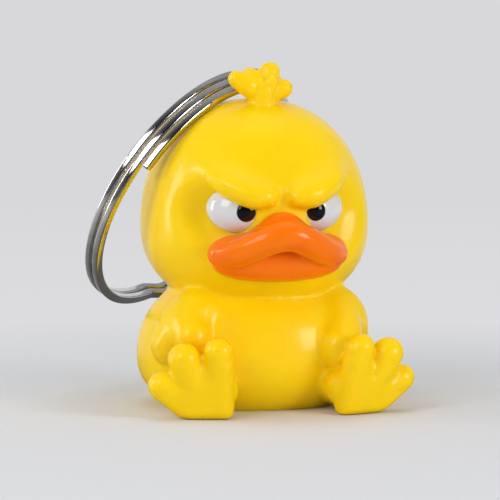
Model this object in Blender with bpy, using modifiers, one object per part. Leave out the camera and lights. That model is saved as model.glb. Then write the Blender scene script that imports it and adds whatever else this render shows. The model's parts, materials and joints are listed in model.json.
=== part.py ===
"""Seated toy duck on a steel split ring: one soft moulding with a bill, eyes and pupils set into it."""

import math

import bmesh
import bpy
import numpy as np
from mathutils import Matrix, Vector

# Sizes are in millimetres, the scene is in metres, the duck faces -Y and sits on the floor
MM = 0.001

# Head: a rounded dome, fuller than an ellipsoid, whose widest level is low on the cheeks
HEAD_WIDTH = 25.9
HEAD_FRONT = 12.4
HEAD_BACK = 12.8
HEAD_RISE = 14.5
HEAD_DROP = 9.8
HEAD_LEVEL = 20.4
HEAD_SETBACK = 0.6
HEAD_POWER = 2.2

# Body: a pear with a flat seat
BODY_WIDTH = 27.0
BODY_DEPTH = 22.6
BODY_RISE = 10.3
BODY_DROP = 7.5
BODY_LEVEL = 5.5
BODY_SETBACK = 0.6
BODY_POWER = 2.2

# Wings, held against the body as an upper wing and a hand folded forward, each a run of (out, forward, up, radius)
WING_ARM = ((6.9, 1.0, 13.0, 3.0), (8.9, 2.5, 10.4, 3.0), (9.7, 4.2, 7.8, 2.95))
WING_HAND = ((8.7, 4.0, 10.2, 2.8), (8.3, 7.2, 9.7, 2.4), (7.2, 9.1, 8.4, 2.15), (6.9, 9.3, 7.1, 2.05))
HAND_OUT = 0.8

# Legs and feet: the feet stand on their heels, soles forward, toes up and splayed outward
LEG_SPREAD = 7.9
LEG_RADIUS = 3.1
LEG_LEVEL = 3.6
FOOT_HEEL_IN = 5.7
FOOT_FORWARD = 13.0
FOOT_SPLAY = 16.0
FOOT_LEAN = 10.0
TOE_RADIUS = 1.62
TOE_TIPS = ((1.75, 7.7), (5.65, 6.95), (8.1, 3.95))
TOE_ROOTS = ((1.75, 2.0), (3.9, 2.2), (5.0, 2.3))
SOLE_THICKNESS = 3.0
SOLE_OUTLINE = ((0.0, 0.0), (5.9, 0.0), (9.3, 2.9), (8.6, 4.4), (5.4, 4.3), (3.4, 5.0), (0.1, 7.4))
WEB_THICKNESS = 2.6
WEB_OUTLINE = ((0.6, 1.0), (6.0, 1.0), (8.6, 3.0), (8.2, 4.4), (6.8, 4.8), (5.8, 5.9), (3.7, 6.2), (1.6, 7.4))
SOLE_EDGE = 0.8

# Eyes: ovals sunk under the brows, each with a domed pupil
EYE_APART = 4.6
EYE_LEVEL = 22.6
EYE_SINK = 2.0
EYE_LENGTH = 6.65
EYE_HEIGHT = 5.3
EYE_DEPTH = 4.6
EYE_TURN = 22.0
EYE_ROLL = 8.0
PUPIL_APART = 3.95
PUPIL_LEVEL = 22.6
PUPIL_RADIUS = 1.12
PUPIL_DEPTH = 1.1
PUPIL_STAND = 0.28

# Brows and the swelling above them: runs of (across, level, stand-off from the head, radius)
BROW_RUN = ((7.5, 26.6, -0.25, 1.1), (5.4, 25.45, 0.15, 1.55), (3.3, 24.6, 0.4, 1.7), (1.25, 24.45, 0.35, 1.45))
BROW_ROOT = ((7.4, 27.1, -1.3, 1.5), (5.2, 26.2, -1.35, 1.8), (2.6, 25.5, -1.35, 1.75))

# The hollow round each eye: its depth, its middle and its reach outward, upward and downward
HOLLOW_DEPTH = 1.25
HOLLOW_APART = 6.5
HOLLOW_LEVEL = 22.7
HOLLOW_REACH = (3.7, 2.9, 4.2)

# Bill: a thick upper lip that arches over a flatter lower bill, with a rim that rises between the eyes
LIP_RUN = (
    (6.65, 17.8, 0.1, 1.35),
    (5.3, 18.0, 0.7, 1.6),
    (3.6, 18.8, 1.25, 1.7),
    (1.8, 19.65, 1.65, 1.72),
    (0.0, 20.0, 1.8, 1.7),
)
RIM_RUN = (
    (6.95, 17.8, -0.1, 1.05),
    (6.7, 18.4, -0.1, 1.05),
    (5.7, 18.95, 0.0, 1.05),
    (3.9, 19.3, 0.1, 1.05),
    (2.2, 20.3, 0.2, 1.05),
    (1.0, 21.3, 0.3, 1.0),
    (0.0, 21.6, 0.35, 1.0),
)
LOWER_BILL_SIZE = (14.8, 5.4, 4.5)
LOWER_BILL_LEVEL = 16.95
LOWER_BILL_STAND = -1.1
BILL_ROOT_LEVEL = 20.6
BILL_ROOT = 2.2

# Head tuft: lobes as runs of (across, forward of the stem, above the crown, radius)
TUFT_FORWARD = 3.0
TUFT_LOBES = (
    ((0.0, 0.0, -1.2, 1.5), (0.0, 0.0, 0.9, 1.4)),
    ((-0.1, 0.0, 0.7, 1.1), (-1.7, 0.1, 1.9, 1.3), (-3.0, 0.1, 2.6, 1.0)),
    ((-0.2, -0.2, 1.2, 1.0), (-1.5, -0.5, 2.5, 1.0)),
    ((0.2, -0.2, 1.0, 1.0), (1.0, -0.3, 3.05, 1.15)),
    ((0.3, 0.7, 1.3, 0.8), (0.8, 1.0, 2.4, 0.7)),
    ((0.3, 0.0, 0.7, 1.0), (2.5, 0.1, 1.55, 1.1)),
)

# Split ring: flat-sided wire coiled into two turns and part of a third
RING_DIAMETER = 32.0
WIRE_RADIAL = 1.1
WIRE_AXIAL = 1.05
WIRE_CORNER = 0.3
COIL_GAP = 0.07
COIL_START = -9.0
COIL_END = -73.0
COIL_STEP_AT = -197.0
COIL_STEP_SPAN = 14.0
COIL_SEGMENTS_PER_TURN = 44

# Where the ring hangs: above the crown behind the tuft, turned from the X axis and leaning from upright
RING_HEIGHT = 1.8
RING_ACROSS = 0.8
RING_BEHIND = 3.8
RING_TURN = 45.0
RING_LEAN = 32.0

# Screw eye in the crown
EYELET_CLEARANCE = 0.3
EYELET_WIRE = 0.7
SCREW_RADIUS = 0.45
SCREW_LENGTH = 6.0

# Gaps between pieces that touch, and how finely the mouldings are meshed
FIT_GAP = 0.15
SCREW_GAP = 0.3
BODY_GRAIN = 0.38
BODY_FACES = 5400
BILL_GRAIN = 0.26
BILL_FACES = 900

CROWN = HEAD_LEVEL + HEAD_RISE


def clear_scene():
    for obj in list(bpy.data.objects):
        bpy.data.objects.remove(obj, do_unlink=True)


def new_collection(name, hidden=False):
    collection = bpy.data.collections.new(name)
    collection.hide_render = hidden
    bpy.context.scene.collection.children.link(collection)
    return collection


def make_material(name, colour, roughness, metallic=0.0):
    material = bpy.data.materials.new(name)
    material.use_nodes = True
    shader = material.node_tree.nodes["Principled BSDF"]
    shader.inputs["Base Color"].default_value = (*colour, 1.0)
    shader.inputs["Roughness"].default_value = roughness
    shader.inputs["Metallic"].default_value = metallic
    return material


def link(mesh_or_curve, name, collection):
    obj = bpy.data.objects.new(name, mesh_or_curve)
    collection.objects.link(obj)
    return obj


def superball(half_sizes, power=2.0, segments=48, rings=32):
    """A unit sphere swollen to a superellipsoid, with (plus, minus) half sizes on each axis, as a bmesh."""
    ball = bmesh.new()
    bmesh.ops.create_uvsphere(ball, u_segments=segments, v_segments=rings, radius=1.0)
    for vertex in ball.verts:
        reach = sum(abs(part) ** power for part in vertex.co) ** (-1.0 / power)
        for axis, (plus, minus) in enumerate(half_sizes):
            vertex.co[axis] *= reach * (plus if vertex.co[axis] > 0 else minus) * MM
    return ball


def even(size):
    return (size / 2, size / 2)


def level_share(x, z):
    """How far out of the head's core the point (x, z) lies: 0 in the middle, 1 on the outline seen from the front."""
    rise = (z - HEAD_LEVEL) / (HEAD_RISE if z > HEAD_LEVEL else HEAD_DROP)
    return abs(2 * x / HEAD_WIDTH) ** HEAD_POWER + abs(rise) ** HEAD_POWER


def on_face(x, z, stand=0.0):
    """The point of the head's front at (x, z), moved forward by stand."""
    reach = max(0.0, 1.0 - level_share(x, z)) ** (1.0 / HEAD_POWER)
    return Vector((x, HEAD_SETBACK - HEAD_FRONT * reach - stand, z))


def bmesh_to_mesh(source, name):
    mesh = bpy.data.meshes.new(name)
    source.to_mesh(mesh)
    source.free()
    return mesh


def head_mesh():
    """The dome, with a soft hollow that holds each eye and runs out to the temple."""
    half_sizes = (even(HEAD_WIDTH), (HEAD_BACK, HEAD_FRONT), (HEAD_RISE, HEAD_DROP))
    head = superball(half_sizes, HEAD_POWER, segments=96, rings=64)
    centre = Vector((0.0, HEAD_SETBACK, HEAD_LEVEL)) * MM
    for vertex in head.verts:
        vertex.co += centre
        spot = vertex.co / MM
        out, above, below = HOLLOW_REACH
        rise = spot.z - HOLLOW_LEVEL
        across = (abs(spot.x) - HOLLOW_APART) / out
        up = rise / (above if rise > 0 else below)
        if spot.y < HEAD_SETBACK:
            depth = HOLLOW_DEPTH * math.exp(-((across**2 + up**2) ** 2))
            vertex.co -= (vertex.co - centre).normalized() * depth * MM
    return bmesh_to_mesh(head, "head")


def body_mesh():
    half_sizes = (even(BODY_WIDTH), even(BODY_DEPTH), (BODY_RISE, BODY_DROP))
    body = superball(half_sizes, BODY_POWER, segments=72, rings=48)
    bmesh.ops.translate(body, verts=body.verts, vec=Vector((0.0, BODY_SETBACK, BODY_LEVEL)) * MM)
    return bmesh_to_mesh(body, "body")


def smooth_run(stations, steps=6):
    """Points and radii along a Catmull-Rom run through (x, y, z, radius) stations, with round ends."""
    knots = np.array(stations, float)
    knots = np.vstack([2 * knots[0] - knots[1], knots, 2 * knots[-1] - knots[-2]])
    run = []
    for before, start, end, after in zip(knots, knots[1:], knots[2:], knots[3:]):
        for t in np.arange(steps) / steps:
            pull = (end - before) * t + (2 * before - 5 * start + 4 * end - after) * t**2
            run.append(start + 0.5 * (pull + (3 * start - 3 * end + after - before) * t**3))
    run.append(knots[-2])
    ends = []
    for tip, inner in ((run[0], run[1]), (run[-1], run[-2])):
        outward = (tip - inner)[:3] / np.linalg.norm((tip - inner)[:3])
        angles = np.radians((84, 66, 44, 22))
        cap = [np.append(tip[:3] + outward * tip[3] * math.sin(a), tip[3] * math.cos(a)) for a in angles]
        ends.append(cap)
    return ends[0] + run + ends[1][::-1]


def limb_mesh(stations, name):
    """A rounded limb: a bevelled curve whose radius follows the stations."""
    curve = bpy.data.curves.new(name, "CURVE")
    curve.dimensions = "3D"
    curve.bevel_depth = MM
    curve.bevel_resolution = 4
    curve.use_fill_caps = True
    run = smooth_run(stations)
    spline = curve.splines.new("POLY")
    spline.points.add(len(run) - 1)
    for point, (x, y, z, radius) in zip(spline.points, run):
        point.co = (x * MM, y * MM, z * MM, 1.0)
        point.radius = radius
    return curve_to_mesh(curve, name)


def curve_to_mesh(curve, name):
    holder = bpy.data.objects.new(name, curve)
    bpy.context.scene.collection.objects.link(holder)
    bpy.context.view_layer.update()
    graph = bpy.context.evaluated_depsgraph_get()
    mesh = bpy.data.meshes.new_from_object(holder.evaluated_get(graph))
    bpy.data.objects.remove(holder, do_unlink=True)
    shape = bmesh.new()
    shape.from_mesh(mesh)
    bmesh.ops.remove_doubles(shape, verts=shape.verts, dist=1e-6)
    bmesh.ops.recalc_face_normals(shape, faces=shape.faces)
    shape.to_mesh(mesh)
    shape.free()
    return mesh


def wing_meshes(side):
    """The upper wing of one side, and the hand, which stands out a little more along its run."""
    arm = [(side * out, -forward, up, r) for out, forward, up, r in WING_ARM]
    yield limb_mesh(arm, "wing")
    last = len(WING_HAND) - 1
    hand = [
        (side * (out + HAND_OUT * index / last), -forward, up, r)
        for index, (out, forward, up, r) in enumerate(WING_HAND)
    ]
    yield limb_mesh(hand, "hand")


def leg_mesh(side):
    back = (side * LEG_SPREAD, BODY_SETBACK - 0.3 * BODY_DEPTH, LEG_LEVEL, LEG_RADIUS)
    front = (side * LEG_SPREAD, -FOOT_FORWARD + 0.6 * LEG_RADIUS, LEG_LEVEL, 0.9 * LEG_RADIUS)
    return limb_mesh([back, front], "leg")


def foot_frame(side):
    """Sole coordinates to the world: X outward along the heel, Y up the toes, Z through the thickness."""
    place = Matrix.Translation(Vector((side * FOOT_HEEL_IN, -FOOT_FORWARD, 0.0)) * MM)
    turn = Matrix.Rotation(side * math.radians(FOOT_SPLAY), 4, "Z")
    lean = Matrix.Rotation(math.radians(90 + FOOT_LEAN), 4, "X")
    return place @ turn @ lean @ Matrix.Diagonal((side, 1.0, 1.0, 1.0))


def plate_mesh(outline, thickness):
    """A flat plate with a round edge."""
    curve = bpy.data.curves.new("plate", "CURVE")
    curve.dimensions = "2D"
    curve.fill_mode = "BOTH"
    curve.extrude = (thickness / 2 - SOLE_EDGE) * MM
    curve.bevel_depth = SOLE_EDGE * MM
    curve.bevel_resolution = 2
    curve.offset = -SOLE_EDGE * MM
    spline = curve.splines.new("POLY")
    spline.use_cyclic_u = True
    spline.points.add(len(outline) - 1)
    for point, (out, up) in zip(spline.points, outline):
        point.co = (out * MM, up * MM, 0.0, 1.0)
    return curve_to_mesh(curve, "plate")


def foot_meshes(side):
    """The sole, the web between the toes and the three toes of one foot."""
    frame = foot_frame(side)
    meshes = [plate_mesh(SOLE_OUTLINE, SOLE_THICKNESS), plate_mesh(WEB_OUTLINE, WEB_THICKNESS)]
    for root, tip in zip(TOE_ROOTS, TOE_TIPS):
        stations = [(*root, 0.0, 0.9 * TOE_RADIUS), (*tip, 0.0, TOE_RADIUS)]
        meshes.append(limb_mesh(stations, "toe"))
    for mesh in meshes:
        mesh.transform(frame)
        if side < 0:
            mesh.flip_normals()
    return meshes


def brow_meshes(side):
    for run in (BROW_RUN, BROW_ROOT):
        stations = [(*on_face(side * x, z, stand), radius) for x, z, stand, radius in run]
        yield limb_mesh(stations, "brow")


def tuft_meshes():
    stem_y = -TUFT_FORWARD
    for lobe in TUFT_LOBES:
        stations = [(x, stem_y - ahead, CROWN - 0.4 + up, radius) for x, ahead, up, radius in lobe]
        yield limb_mesh(stations, "tuft")


def fuse(meshes, name, collection, grain, smoothing):
    """Melts overlapping closed shapes into one skin, as a mould does."""
    joined = bmesh.new()
    for mesh in meshes:
        joined.from_mesh(mesh)
    obj = link(bmesh_to_mesh(joined, name), name, collection)
    skin = obj.modifiers.new("skin", "REMESH")
    skin.mode = "VOXEL"
    skin.voxel_size = grain * MM
    soften = obj.modifiers.new("soften", "SMOOTH")
    soften.factor = 0.5
    soften.iterations = smoothing
    return obj


def apply_modifiers(obj):
    bpy.context.view_layer.update()
    graph = bpy.context.evaluated_depsgraph_get()
    mesh = bpy.data.meshes.new_from_object(obj.evaluated_get(graph))
    obj.modifiers.clear()
    obj.data = mesh


def thin_out(obj, faces):
    """Collapses the skin to about this many triangles."""
    triangles = sum(len(polygon.vertices) - 2 for polygon in obj.data.polygons)
    collapse = obj.modifiers.new("thin out", "DECIMATE")
    collapse.ratio = min(1.0, faces / triangles)
    collapse.use_collapse_triangulate = True
    apply_modifiers(obj)


def boolean(obj, other, operation="DIFFERENCE"):
    modifier = obj.modifiers.new(other.name, "BOOLEAN")
    modifier.operation = operation
    modifier.solver = "EXACT"
    modifier.object = other


def cutter(mesh, name, collection):
    obj = link(mesh, name, collection)
    obj.hide_render = True
    obj.display_type = "WIRE"
    return obj


def cylinder_mesh(radius, start, end, name, segments=24):
    """A round bar between two points in millimetres."""
    bar = bmesh.new()
    axis = end - start
    bmesh.ops.create_cone(
        bar,
        cap_ends=True,
        segments=segments,
        radius1=radius * MM,
        radius2=radius * MM,
        depth=axis.length * MM,
    )
    turn = axis.to_track_quat("Z", "Y").to_matrix().to_4x4()
    bar.transform(Matrix.Translation((start + end) * 0.5 * MM) @ turn)
    return bmesh_to_mesh(bar, name)


def eye_frame(side):
    place = Matrix.Translation(on_face(side * EYE_APART, EYE_LEVEL, -EYE_SINK) * MM)
    turn = Matrix.Rotation(side * math.radians(EYE_TURN), 4, "Z")
    roll = Matrix.Rotation(-side * math.radians(EYE_ROLL), 4, "Y")
    return place @ turn @ roll


def eye_mesh(side, grow=0.0):
    sizes = (EYE_LENGTH, EYE_DEPTH, EYE_HEIGHT)
    ball = superball([even(size + 2 * grow) for size in sizes], segments=22, rings=12)
    ball.transform(eye_frame(side))
    return bmesh_to_mesh(ball, "eye")


def pupil_mesh(side, grow=0.0):
    sizes = (2 * PUPIL_RADIUS, PUPIL_DEPTH, 2 * PUPIL_RADIUS)
    ball = superball([even(size + 2 * grow) for size in sizes], segments=18, rings=12)
    local = eye_frame(side).inverted() @ (on_face(side * PUPIL_APART, PUPIL_LEVEL) * MM)
    across = 2 * local.x / (EYE_LENGTH * MM)
    up = 2 * local.z / (EYE_HEIGHT * MM)
    front = -EYE_DEPTH / 2 * math.sqrt(1.0 - across**2 - up**2)
    seat = Vector((local.x, (front + PUPIL_DEPTH / 2 - PUPIL_STAND) * MM, local.z))
    facing = Matrix.Rotation(-side * math.radians(EYE_TURN), 4, "Z")
    ball.transform(eye_frame(side) @ Matrix.Translation(seat) @ facing)
    return bmesh_to_mesh(ball, "pupil")


def bill_meshes():
    """Upper lip, rim and lower bill, all rooted in the head's front."""
    meshes = []
    for run in (LIP_RUN, RIM_RUN):
        half = [(*on_face(x, z, stand), radius) for x, z, stand, radius in run]
        mirrored = [(-x, y, z, radius) for x, y, z, radius in reversed(half[:-1])]
        meshes.append(limb_mesh(half + mirrored, "lip"))
    lower = superball([even(size) for size in LOWER_BILL_SIZE], 2.3, segments=40, rings=24)
    centre = on_face(0.0, LOWER_BILL_LEVEL, LOWER_BILL_STAND)
    bmesh.ops.translate(lower, verts=lower.verts, vec=centre * MM)
    meshes.append(bmesh_to_mesh(lower, "lower bill"))
    return meshes


def grown(obj, gap, name, collection):
    """A copy of a finished piece, swollen by the gap, to cut its socket."""
    copy = link(obj.data.copy(), name, collection)
    copy.hide_render = True
    copy.display_type = "WIRE"
    swell = copy.modifiers.new("swell", "DISPLACE")
    swell.strength = gap * MM
    swell.mid_level = 0.0
    return copy


def ring_axes():
    """Where the ring passes through its eyelet, the direction of its wire there, away from its centre, and its axis."""
    turn = math.radians(RING_TURN)
    lean = math.radians(RING_LEAN)
    pivot = Vector((RING_ACROSS, RING_BEHIND, CROWN + RING_HEIGHT))
    along = Vector((math.cos(turn), math.sin(turn), 0.0))
    behind = Vector((-math.sin(turn), math.cos(turn), 0.0))
    outward = Vector((0.0, 0.0, math.cos(lean))) - behind * math.sin(lean)
    return pivot, along, outward, along.cross(outward)


def coil_layer(angle):
    """The layer of the wire, counted forward from the rear, at an angle along the coil: one step in each turn."""
    layer = 0.0
    for turn in range(3):
        into = (COIL_STEP_AT - 360.0 * turn - angle) / COIL_STEP_SPAN + 0.5
        into = min(1.0, max(0.0, into))
        layer += into * into * (3.0 - 2.0 * into)
    return layer


def make_split_ring(collection, material):
    """The wire's section carried along the coil, whose origin is where it passes through the eyelet."""
    section = bpy.data.curves.new("wire section", "CURVE")
    section.dimensions = "2D"
    half_x = WIRE_RADIAL / 2
    half_y = WIRE_AXIAL / 2
    outline = section.splines.new("POLY")
    outline.use_cyclic_u = True
    outline.points.add(7)
    corners = [(half_x, half_y), (-half_x, half_y), (-half_x, -half_y), (half_x, -half_y)]
    index = 0
    for x, y in corners:
        inner_x = x - math.copysign(WIRE_CORNER, x)
        inner_y = y - math.copysign(WIRE_CORNER, y)
        pair = [(x, inner_y), (inner_x, y)] if x * y > 0 else [(inner_x, y), (x, inner_y)]
        for point in pair:
            outline.points[index].co = (point[0] * MM, point[1] * MM, 0.0, 1.0)
            index += 1
    profile = bpy.data.objects.new("wire section", section)
    bpy.context.scene.collection.objects.link(profile)
    profile.hide_render = True

    pitch = WIRE_AXIAL + COIL_GAP
    radius = (RING_DIAMETER - WIRE_RADIAL) / 2
    last = COIL_END - 720.0
    count = round((COIL_START - last) / 360.0 * COIL_SEGMENTS_PER_TURN)
    coil = bpy.data.curves.new("split_ring", "CURVE")
    coil.dimensions = "3D"
    coil.twist_mode = "Z_UP"
    coil.bevel_mode = "OBJECT"
    coil.bevel_object = profile
    coil.use_fill_caps = True
    spline = coil.splines.new("POLY")
    spline.points.add(count)
    for point, angle in zip(spline.points, np.linspace(COIL_START, last, count + 1)):
        turn = math.radians(angle)
        across = radius * math.cos(turn) - radius
        ahead = radius * math.sin(turn)
        height = (1.5 - coil_layer(angle)) * pitch
        point.co = (across * MM, ahead * MM, height * MM, 1.0)
    mesh = curve_to_mesh(coil, "split_ring")
    bpy.data.objects.remove(profile, do_unlink=True)

    pivot, along, outward, axis = ring_axes()
    ring = link(mesh, "split_ring", collection)
    frame = Matrix((outward, along, -axis)).transposed().to_4x4()
    ring.matrix_world = Matrix.Translation(pivot * MM) @ frame
    mesh.materials.append(material)
    return ring


def eyelet_radius():
    """The hole's radius: what the corners of two turns need to swing, plus the clearance."""
    half_radial = WIRE_RADIAL / 2 - WIRE_CORNER
    half_axial = WIRE_AXIAL + COIL_GAP / 2 - WIRE_CORNER
    return math.hypot(half_radial, half_axial) + WIRE_CORNER + EYELET_CLEARANCE


def make_screw_eye(collection, material):
    """A wire loop across the ring's wire, on a pointed shank sunk into the crown."""
    pivot, along, _, _ = ring_axes()
    wire = EYELET_WIRE / 2
    reach = eyelet_radius() + wire
    bpy.ops.mesh.primitive_torus_add(
        major_radius=reach * MM,
        minor_radius=wire * MM,
        major_segments=28,
        minor_segments=10,
        location=pivot * MM,
        rotation=along.to_track_quat("Z", "Y").to_euler(),
    )
    eye = bpy.context.object
    eye.name = "screw_eye"
    for old in list(eye.users_collection):
        old.objects.unlink(eye)
    collection.objects.link(eye)
    eye.data.materials.append(material)

    top = pivot - Vector((0.0, 0.0, reach))
    shank = bmesh.new()
    bmesh.ops.create_cone(
        shank,
        cap_ends=True,
        segments=16,
        radius1=0.2 * SCREW_RADIUS * MM,
        radius2=SCREW_RADIUS * MM,
        depth=SCREW_LENGTH * MM,
    )
    bmesh.ops.translate(shank, verts=shank.verts, vec=(top - Vector((0.0, 0.0, SCREW_LENGTH / 2))) * MM)
    return eye, bmesh_to_mesh(shank, "shank")


def main():
    clear_scene()
    duck = new_collection("duck_key_ring")
    helpers = new_collection("cutters", hidden=True)
    yellow = make_material("yellow vinyl", (1.0, 0.62, 0.01), 0.28)
    orange = make_material("orange vinyl", (0.95, 0.16, 0.005), 0.25)
    white = make_material("eye white", (0.82, 0.82, 0.8), 0.12)
    black = make_material("pupil black", (0.01, 0.01, 0.01), 0.08)
    steel = make_material("steel", (0.6, 0.6, 0.6), 0.18, 1.0)

    shapes = [head_mesh(), body_mesh(), *tuft_meshes()]
    for side in (-1, 1):
        shapes += [*wing_meshes(side), leg_mesh(side), *foot_meshes(side), *brow_meshes(side)]
    body = fuse(shapes, "duck_body", duck, BODY_GRAIN, smoothing=3)
    apply_modifiers(body)
    thin_out(body, BODY_FACES)

    bill = fuse(bill_meshes(), "bill", duck, BILL_GRAIN, smoothing=2)
    apply_modifiers(bill)
    thin_out(bill, BILL_FACES)
    back = on_face(0.0, BILL_ROOT_LEVEL, -BILL_ROOT)
    block = bmesh.new()
    bmesh.ops.create_cube(block, size=1.0)
    block.transform(Matrix.Translation((back + Vector((0.0, 10.0, 0.0))) * MM) @ Matrix.Scale(20.0 * MM, 4))
    behind_bill = cutter(bmesh_to_mesh(block, "behind bill"), "behind_bill", helpers)
    boolean(bill, behind_bill)
    apply_modifiers(bill)
    bill_socket = grown(bill, FIT_GAP, "bill_socket", helpers)
    boolean(body, bill_socket)

    floor = bmesh.new()
    bmesh.ops.create_cube(floor, size=1.0)
    floor.transform(Matrix.Translation(Vector((0.0, 0.0, -10.0)) * MM) @ Matrix.Diagonal((60 * MM, 60 * MM, 20 * MM, 1)))
    boolean(body, cutter(bmesh_to_mesh(floor, "floor cut"), "floor_cut", helpers))

    for side, word in ((-1, "right"), (1, "left")):
        eye = link(eye_mesh(side), f"eye_white_{word}", duck)
        pupil = link(pupil_mesh(side), f"pupil_{word}", duck)
        boolean(body, cutter(eye_mesh(side, FIT_GAP), f"eye_socket_{word}", helpers))
        pupil_socket = cutter(pupil_mesh(side, FIT_GAP), f"pupil_socket_{word}", helpers)
        for holder in (body, eye):
            boolean(holder, pupil_socket)
        boolean(eye, bill_socket)
        eye.data.materials.append(white)
        pupil.data.materials.append(black)

    pivot, along, _, _ = ring_axes()
    loop_reach = eyelet_radius() + EYELET_WIRE
    half_slot = along * (EYELET_WIRE / 2 + SCREW_GAP)
    slot = cylinder_mesh(loop_reach + SCREW_GAP, pivot - half_slot, pivot + half_slot, "eyelet slot", 32)
    boolean(body, cutter(slot, "eyelet_slot", helpers))
    bore_top = pivot - Vector((0.0, 0.0, eyelet_radius()))
    bore_end = pivot - Vector((0.0, 0.0, loop_reach + SCREW_LENGTH + SCREW_GAP))
    bore = cylinder_mesh(SCREW_RADIUS + FIT_GAP, bore_end, bore_top, "screw bore", 16)
    boolean(body, cutter(bore, "screw_bore", helpers))
    eye, shank = make_screw_eye(duck, steel)
    boolean(eye, cutter(shank, "screw_shank", helpers), "UNION")

    make_split_ring(duck, steel)
    body.data.materials.append(yellow)
    bill.data.materials.append(orange)
    for obj in duck.objects:
        for polygon in obj.data.polygons:
            polygon.use_smooth = True


main()
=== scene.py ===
"""Studio scene of a seated toy duck on a steel split ring, with every piece as a finely worked surface."""

from __future__ import annotations

import json
import logging
import math
from dataclasses import dataclass, field
from enum import Enum

import bmesh
import bpy
import numpy as np
from mathutils import Matrix, Vector

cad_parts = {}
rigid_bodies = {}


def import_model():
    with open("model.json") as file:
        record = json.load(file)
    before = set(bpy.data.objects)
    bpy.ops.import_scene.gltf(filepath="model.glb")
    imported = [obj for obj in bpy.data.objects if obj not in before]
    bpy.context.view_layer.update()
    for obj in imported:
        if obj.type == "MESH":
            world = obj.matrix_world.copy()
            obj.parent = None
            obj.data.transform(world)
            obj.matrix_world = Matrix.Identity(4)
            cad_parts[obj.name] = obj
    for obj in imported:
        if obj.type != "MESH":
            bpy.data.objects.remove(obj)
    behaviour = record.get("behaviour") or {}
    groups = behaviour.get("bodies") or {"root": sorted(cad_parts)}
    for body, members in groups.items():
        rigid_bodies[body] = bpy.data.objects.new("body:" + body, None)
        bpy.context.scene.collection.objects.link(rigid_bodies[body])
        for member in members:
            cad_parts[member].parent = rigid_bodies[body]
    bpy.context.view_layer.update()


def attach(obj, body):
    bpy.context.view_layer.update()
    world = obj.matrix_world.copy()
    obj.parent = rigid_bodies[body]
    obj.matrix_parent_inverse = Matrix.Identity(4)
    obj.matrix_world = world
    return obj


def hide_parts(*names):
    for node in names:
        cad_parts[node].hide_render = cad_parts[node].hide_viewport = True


# Sizes are in millimetres, the scene is in metres, the duck faces -Y and sits on the floor
MM = 0.001
LOG = logging.getLogger("duck")

Array = np.ndarray
Colour = tuple[float, float, float]
# Three measures and a radius, where the docstring of the class that holds it says which three
Station = tuple[float, float, float, float]


class Side(Enum):
    """The two sides of the duck, as the sign of X."""

    RIGHT = -1
    LEFT = 1

    @property
    def word(self) -> str:
        """The side's name, as the nodes of the frame spell it."""
        return self.name.lower()


class Rides(Enum):
    """The bodies of the frame that a piece can ride on."""

    DUCK = "duck"
    RING = "ring"


# Surfaces


def build_mesh(name: str, points: Array, faces: list[list[int]]) -> bpy.types.Mesh:
    """Puts points and faces into a mesh whose faces all point outwards.

    Args:
        name: The name of the mesh.
        points: Points in millimetres, one row each.
        faces: Corner numbers of each face.

    Returns:
        The mesh, in metres.
    """
    mesh = bpy.data.meshes.new(name)
    mesh.from_pydata((points * MM).tolist(), [], faces)
    shape = bmesh.new()
    shape.from_mesh(mesh)
    bmesh.ops.recalc_face_normals(shape, faces=shape.faces)
    shape.to_mesh(mesh)
    shape.free()
    return mesh


def lathe_faces(rows: int, columns: int) -> list[list[int]]:
    """Faces of a closed surface of rings of points, whose last two points are its poles.

    Args:
        rows: How many rings there are.
        columns: How many points each ring has.

    Returns:
        The quads between the rings, and the triangles that close the ends.
    """
    index = np.arange(rows * columns).reshape(rows, columns)
    after = np.roll(index, -1, axis=1)
    quads = np.stack([index[:-1], after[:-1], after[1:], index[1:]], axis=-1).reshape(-1, 4)
    first = np.stack([after[0], index[0], np.full(columns, rows * columns)], axis=-1)
    last = np.stack([index[-1], after[-1], np.full(columns, rows * columns + 1)], axis=-1)
    return quads.tolist() + first.tolist() + last.tolist()


def superball(half_sizes: Array, power: float = 2.0, rows: int = 48, columns: int = 96) -> Array:
    """Points of a superellipsoid round the origin.

    A direction n on the unit sphere reaches out to n divided by the p-norm of n, where p is the power, and
    each axis is then stretched by its own half size, which may differ between its plus and minus side.

    Args:
        half_sizes: Three pairs of half sizes in millimetres, as (plus, minus).
        power: 2 for an ellipsoid, more for a fuller form.
        rows: Rings from pole to pole.
        columns: Points in each ring.

    Returns:
        The rings' points, and the two poles last.
    """
    polar = (np.arange(rows) + 0.5) * math.pi / rows
    round_about = np.arange(columns) * 2 * math.pi / columns
    polar, round_about = np.meshgrid(polar, round_about, indexing="ij")
    rings = np.stack(
        [np.sin(polar) * np.cos(round_about), np.sin(polar) * np.sin(round_about), np.cos(polar)], axis=-1
    )
    directions = np.vstack([rings.reshape(-1, 3), [[0.0, 0.0, 1.0], [0.0, 0.0, -1.0]]])
    directions *= (np.abs(directions) ** power).sum(axis=1, keepdims=True) ** (-1.0 / power)
    sizes = np.asarray(half_sizes, float)
    return directions * np.where(directions > 0, sizes[:, 0], sizes[:, 1])


def even(*sizes: float) -> Array:
    """Half sizes for a superball that is the same on both sides of each axis."""
    return np.array([(size / 2, size / 2) for size in sizes])


def ball_mesh(name: str, points: Array, columns: int = 96) -> bpy.types.Mesh:
    """A mesh of points laid out as superball gives them."""
    return build_mesh(name, points, lathe_faces((len(points) - 2) // columns, columns))


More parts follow.
